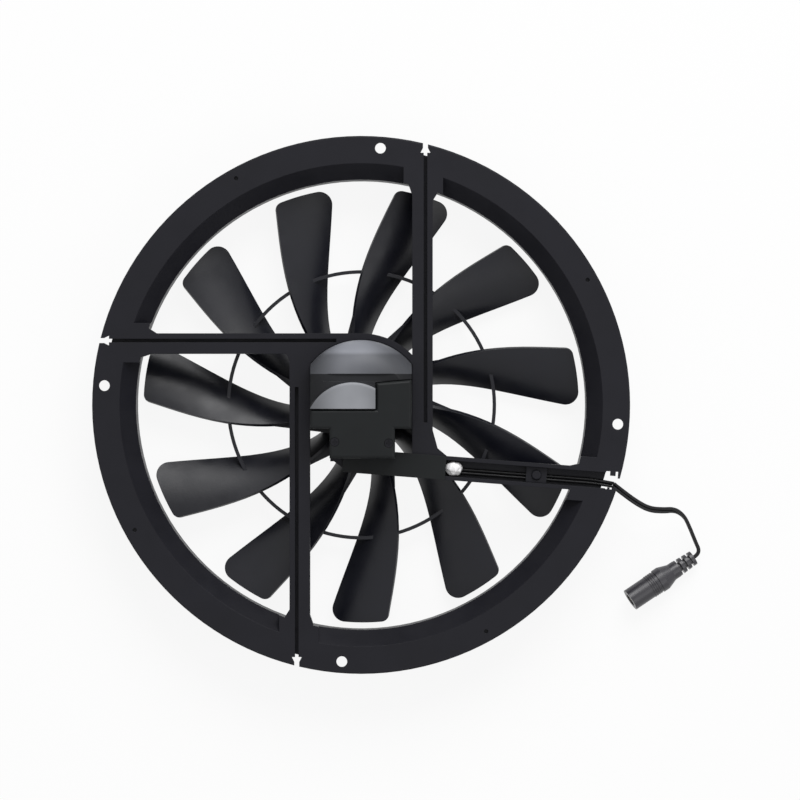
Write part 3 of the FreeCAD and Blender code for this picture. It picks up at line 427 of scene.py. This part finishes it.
class FAN_OT_motor_finish(bpy.types.Operator):
    """Finish the motor's housing, bearings, magnets, armature, brushes and terminals"""

    bl_idname = "exhaust_fan.motor_finish"
    bl_label = "Motor Finish"

    def execute(self, context):
        colours = context.scene.fan_finishes
        dress(plated_metal("motor_can_steel", colours.steel_grey, roughness=0.3), "motor_can")
        dress(moulded_plastic("end_cap_black", linear(42, 42, 42), roughness=0.5), "motor_end_cap")
        bronze = plated_metal("bearing_bronze", linear(168, 132, 82), roughness=0.42)
        dress(bronze, "front_bearing", "rear_bearing")
        ferrite = moulded_plastic("magnet_ferrite", linear(48, 48, 50), roughness=0.6, grain=2400.0)
        dress(ferrite, "field_magnets")
        iron = plated_metal("core_laminations", linear(122, 122, 126), roughness=0.4, streak=2200.0)
        dress(iron, "armature_core")
        dress(wound_copper("winding_copper", colours.copper_red), "armature_windings")
        dress(plated_metal("commutator_copper", colours.copper_red, roughness=0.28), "commutator")
        carbon = moulded_plastic("brush_carbon", linear(30, 30, 31), roughness=0.55, grain=3000.0)
        dress(carbon, "carbon_brushes")
        brass = plated_metal("terminal_brass", colours.brass_yellow, roughness=0.3)
        dress(brass, "motor_terminals", "hub_insert")
        return {"FINISHED"}


class FAN_OT_fixings_finish(bpy.types.Operator):
    """Finish the screws, shaft, washer and nut in plated steel"""

    bl_idname = "exhaust_fan.fixings_finish"
    bl_label = "Fixings Finish"

    def execute(self, context):
        colours = context.scene.fan_finishes
        steel = plated_metal("fixing_zinc_steel", colours.steel_grey, roughness=0.28)
        dress(steel, "motor_screws", "motor_shaft", "hub_washer", "hub_nut")
        dress(plated_metal("fixing_black_steel", linear(38, 38, 41), roughness=0.45), "cover_screws")
        return {"FINISHED"}


class FAN_OT_socket_finish(bpy.types.Operator):
    """Finish the in-line socket's moulding and contacts"""

    bl_idname = "exhaust_fan.socket_finish"
    bl_label = "Socket Finish"

    def execute(self, context):
        colours = context.scene.fan_finishes
        satin = moulded_plastic(
            "socket_satin_grey", colours.socket_grey, roughness=0.32, grain=1300.0, grain_depth=0.000005,
            gloss=0.5,
        )
        dress(satin, "socket_shell")
        dress(moulded_plastic("socket_insert_black", linear(26, 26, 27), roughness=0.5), "socket_insert")
        nickel = plated_metal("contact_nickel", linear(200, 198, 192), roughness=0.2)
        dress(nickel, "socket_sleeve", "socket_pin")
        return {"FINISHED"}


def lead_line():
    """Mesh line along the lead's smooth route."""
    curve = bpy.data.curves.new("lead_route", "CURVE")
    curve.dimensions = "3D"
    curve.resolution_u = LEAD_STEPS
    spline = curve.splines.new("NURBS")
    spline.points.add(len(LEAD_ROUTE) - 1)
    for point, place in zip(spline.points, LEAD_ROUTE):
        point.co = (*place, 1.0)
    spline.order_u = LEAD_ORDER
    spline.use_endpoint_u = True
    route = link_object("lead_route", curve)
    evaluated = route.evaluated_get(bpy.context.evaluated_depsgraph_get())
    line = bpy.data.meshes.new_from_object(evaluated)
    bpy.data.objects.remove(route)
    bpy.data.curves.remove(curve)
    return line


def twin_lead_tree():
    """Geometry Nodes tree that sweeps two joined wires along a line."""
    tree = bpy.data.node_groups.new("twin_lead", "GeometryNodeTree")
    for name, way, kind in (
        ("Line", "INPUT", "Geometry"),
        ("Wire Radius", "INPUT", "Float"),
        ("Wire Pitch", "INPUT", "Float"),
        ("Wire Sides", "INPUT", "Int"),
        ("Twist", "INPUT", "Float"),
        ("Insulation", "INPUT", "Material"),
        ("Lead", "OUTPUT", "Geometry"),
    ):
        tree.interface.new_socket(name, in_out=way, socket_type="NodeSocket" + kind)
    nodes, links = tree.nodes, tree.links
    given = nodes.new("NodeGroupInput")
    made = nodes.new("NodeGroupOutput")
    line = nodes.new("GeometryNodeMeshToCurve")
    links.new(given.outputs["Line"], line.inputs["Mesh"])
    level = nodes.new("GeometryNodeSetCurveNormal")
    level.mode = "Z_UP"
    links.new(line.outputs["Curve"], level.inputs["Curve"])
    along = nodes.new("GeometryNodeSplineParameter")
    turning = nodes.new("ShaderNodeMapRange")
    turning.interpolation_type = "SMOOTHSTEP"
    turning.inputs["From Min"].default_value = LEAD_TURN_SPAN[0]
    turning.inputs["From Max"].default_value = LEAD_TURN_SPAN[1]
    links.new(along.outputs["Factor"], turning.inputs["Value"])
    links.new(given.outputs["Twist"], turning.inputs["To Max"])
    twisted = nodes.new("GeometryNodeSetCurveTilt")
    links.new(level.outputs["Curve"], twisted.inputs["Curve"])
    links.new(turning.outputs["Result"], twisted.inputs["Tilt"])
    ring = nodes.new("GeometryNodeCurvePrimitiveCircle")
    links.new(given.outputs["Wire Sides"], ring.inputs["Resolution"])
    links.new(given.outputs["Wire Radius"], ring.inputs["Radius"])
    section = nodes.new("GeometryNodeJoinGeometry")
    for share in (0.5, -0.5):
        place = nodes.new("ShaderNodeCombineXYZ")
        links.new(math_node(tree, "MULTIPLY", given.outputs["Wire Pitch"], share), place.inputs["X"])
        moved = nodes.new("GeometryNodeTransform")
        links.new(ring.outputs["Curve"], moved.inputs["Geometry"])
        links.new(place.outputs["Vector"], moved.inputs["Translation"])
        links.new(moved.outputs["Geometry"], section.inputs["Geometry"])
    sweep = nodes.new("GeometryNodeCurveToMesh")
    sweep.inputs["Fill Caps"].default_value = True
    links.new(twisted.outputs["Curve"], sweep.inputs["Curve"])
    links.new(section.outputs["Geometry"], sweep.inputs["Profile Curve"])
    realize = nodes.new("GeometryNodeRealizeInstances")
    links.new(sweep.outputs["Mesh"], realize.inputs["Geometry"])
    paint = nodes.new("GeometryNodeSetMaterial")
    links.new(realize.outputs["Geometry"], paint.inputs["Geometry"])
    links.new(given.outputs["Insulation"], paint.inputs["Material"])
    links.new(paint.outputs["Geometry"], made.inputs["Lead"])
    return tree


def made_mesh(carrier, tree, values):
    """The plain mesh that a tree makes of a carrier object."""
    modifier = carrier.modifiers.new(tree.name, "NODES")
    modifier.node_group = tree
    for item in tree.interface.items_tree:
        if item.name in values:
            modifier[item.identifier] = values[item.name]
    evaluated = carrier.evaluated_get(bpy.context.evaluated_depsgraph_get())
    mesh = bpy.data.meshes.new_from_object(evaluated)
    carrier.modifiers.remove(modifier)
    return mesh


class FAN_OT_twin_lead(bpy.types.Operator):
    """Lay the twin lead from the cable arm to the socket, and finish the wires in the arm"""

    bl_idname = "exhaust_fan.twin_lead"
    bl_label = "Twin Lead"

    def execute(self, context):
        sizes = context.scene.fan_lead
        insulation = moulded_plastic(
            "lead_insulation_black", context.scene.fan_finishes.lead_black, roughness=0.32, grain=900.0,
            grain_depth=0.00001, edge=0.0,
        )
        dress(insulation, "arm_lead", "free_lead")
        line = lead_line()
        carrier = link_object("lead_line", line)
        mesh = made_mesh(carrier, twin_lead_tree(), {
            "Wire Radius": sizes.wire_radius,
            "Wire Pitch": sizes.wire_pitch,
            "Wire Sides": sizes.wire_sides,
            "Twist": sizes.lead_twist,
            "Insulation": insulation,
        })
        bpy.data.objects.remove(carrier)
        if not mesh.polygons:
            raise RuntimeError("the twin lead came out empty")
        mesh.shade_smooth()
        lead = link_object("twin_lead", mesh)
        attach(lead, "frame")
        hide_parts("free_lead")
        return {"FINISHED"}


class FAN_OT_glue_lump(bpy.types.Operator):
    """Shape the lump of hot-melt glue over the wires"""

    bl_idname = "exhaust_fan.glue_lump"
    bl_label = "Glue Lump"

    def execute(self, context):
        ripple = context.scene.fan_lead.glue_ripple
        low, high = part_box("glue_bead")
        low = Vector(low)
        high = Vector(high)
        centre = (low + high) / 2
        half = (high - low) / 2
        lump = bmesh.new()
        bmesh.ops.create_icosphere(lump, subdivisions=GLUE_FINENESS, radius=1.0)
        for vertex in lump.verts:
            out = vertex.co.normalized()
            swell = ripple * noise.noise(out * GLUE_SWELLS + Vector(GLUE_NOISE_START))
            shape = Vector((out.x * half.x, out.y * half.y, max(out.z, GLUE_FLAT) * half.z))
            vertex.co = centre + shape + out * (swell - 0.5 * ripple)
        mesh = bpy.data.meshes.new("glue_lump")
        lump.to_mesh(mesh)
        lump.free()
        mesh.shade_smooth()
        mesh.materials.append(milky_glue("glue_milky_white", context.scene.fan_finishes.glue_white))
        piece = link_object("glue_lump", mesh)
        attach(piece, "frame")
        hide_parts("glue_bead")
        return {"FINISHED"}


def seen_white(tree, lit, amount=1.0):
    """Mixes a lit shader with plain white wherever the camera, a gloss or glass looks at it."""
    rays = tree.nodes.new("ShaderNodeLightPath")
    either = math_node(tree, "MAXIMUM", rays.outputs["Is Camera Ray"], rays.outputs["Is Glossy Ray"])
    any_look = math_node(tree, "MAXIMUM", either, rays.outputs["Is Transmission Ray"])
    mix = tree.nodes.new("ShaderNodeMixShader")
    tree.links.new(math_node(tree, "MULTIPLY", any_look, amount), mix.inputs["Fac"])
    tree.links.new(lit, mix.inputs[1])
    return mix


def pale_floor():
    """Floor that takes faint shadows but looks white."""
    material = bpy.data.materials.new("floor_pale")
    material.use_nodes = True
    tree = material.node_tree
    tree.nodes.clear()
    paint = tree.nodes.new("ShaderNodeBsdfDiffuse")
    paint.inputs["Color"].default_value = FLOOR_GREY
    white = tree.nodes.new("ShaderNodeEmission")
    white.inputs["Color"].default_value = WHITE
    mix = seen_white(tree, paint.outputs["BSDF"], FLOOR_WHITENESS)
    tree.links.new(white.outputs["Emission"], mix.inputs[2])
    end = tree.nodes.new("ShaderNodeOutputMaterial")
    tree.links.new(mix.outputs["Shader"], end.inputs["Surface"])
    return material


def white_world(strength):
    """Even light of that strength from all round, plain white where it is looked at."""
    world = bpy.data.worlds.new("studio")
    world.use_nodes = True
    tree = world.node_tree
    sky = tree.nodes["Background"]
    sky.inputs["Color"].default_value = WHITE
    sky.inputs["Strength"].default_value = strength
    white = tree.nodes.new("ShaderNodeBackground")
    white.inputs["Color"].default_value = WHITE
    mix = seen_white(tree, sky.outputs["Background"])
    tree.links.new(white.outputs["Background"], mix.inputs[2])
    tree.links.new(mix.outputs["Shader"], tree.nodes["World Output"].inputs["Surface"])
    return world


def soft_lamp(name, power, size, place):
    """Round soft lamp aimed at the origin."""
    data = bpy.data.lights.new(name, "AREA")
    data.energy = power
    data.shape = "DISK"
    data.size = size
    lamp = link_object(name, data)
    lamp.location = place
    lamp.rotation_euler = (-Vector(place)).to_track_quat("-Z", "Y").to_euler()


class FAN_OT_stage(bpy.types.Operator):
    """Set the floor, the lamps and the camera"""

    bl_idname = "exhaust_fan.stage"
    bl_label = "Stage"

    def execute(self, context):
        scene = context.scene
        setup = scene.fan_stage
        half = setup.floor_size / 2
        mesh = bpy.data.meshes.new("floor")
        corners = ((-half, -half), (half, -half), (half, half), (-half, half))
        mesh.from_pydata([(x, y, FLOOR_LEVEL) for x, y in corners], [], [(0, 1, 2, 3)])
        mesh.materials.append(pale_floor())
        link_object("floor", mesh)
        scene.world = white_world(setup.sky_strength)
        soft_lamp("key_lamp", setup.key_power, *KEY_LAMP)
        soft_lamp("fill_lamp", setup.fill_power, *FILL_LAMP)
        data = bpy.data.cameras.new("camera")
        data.lens = data.sensor_width * setup.view_distance / setup.view_width
        data.clip_end = CLIP_END
        camera = link_object("camera", data)
        camera.location = Vector(setup.view_centre) + Vector((0, 0, setup.view_distance))
        scene.camera = camera
        scene.view_settings.view_transform = "Standard"
        return {"FINISHED"}


class FAN_PT_looks(bpy.types.Panel):
    """Sizes, colours and steps of the exhaust fan's looks"""

    bl_idname = "FAN_PT_looks"
    bl_label = "Exhaust Fan"
    bl_space_type = "VIEW_3D"
    bl_region_type = "UI"
    bl_category = "Exhaust Fan"

    def draw(self, context):
        for group in (context.scene.fan_finishes, context.scene.fan_lead, context.scene.fan_stage):
            box = self.layout.box()
            for name in group.bl_rna.properties.keys():
                if name not in ("rna_type", "name"):
                    box.prop(group, name)
        for step in STEPS:
            self.layout.operator(step.bl_idname)


STEPS = (
    FAN_OT_stage,
    FAN_OT_twin_lead,
    FAN_OT_glue_lump,
    FAN_OT_frame_finish,
    FAN_OT_impeller_finish,
    FAN_OT_hood_finish,
    FAN_OT_motor_finish,
    FAN_OT_fixings_finish,
    FAN_OT_socket_finish,
)
SETTINGS = (FanFinishSettings, FanLeadSettings, FanStageSettings)


def register():
    """Make the settings, steps and panel known to Blender."""
    for kind in (*SETTINGS, *STEPS, FAN_PT_looks):
        bpy.utils.register_class(kind)
    bpy.types.Scene.fan_finishes = PointerProperty(type=FanFinishSettings)
    bpy.types.Scene.fan_lead = PointerProperty(type=FanLeadSettings)
    bpy.types.Scene.fan_stage = PointerProperty(type=FanStageSettings)


def unregister():
    """Take them out again."""
    del bpy.types.Scene.fan_stage
    del bpy.types.Scene.fan_lead
    del bpy.types.Scene.fan_finishes
    for kind in reversed((*SETTINGS, *STEPS, FAN_PT_looks)):
        bpy.utils.unregister_class(kind)


def main():
    """Build the looks step by step."""
    register()
    bpy.ops.exhaust_fan.stage()
    bpy.ops.exhaust_fan.twin_lead()
    bpy.ops.exhaust_fan.glue_lump()
    bpy.ops.exhaust_fan.frame_finish()
    bpy.ops.exhaust_fan.impeller_finish()
    bpy.ops.exhaust_fan.hood_finish()
    bpy.ops.exhaust_fan.motor_finish()
    bpy.ops.exhaust_fan.fixings_finish()
    bpy.ops.exhaust_fan.socket_finish()


if __name__ == "__main__":
    main()
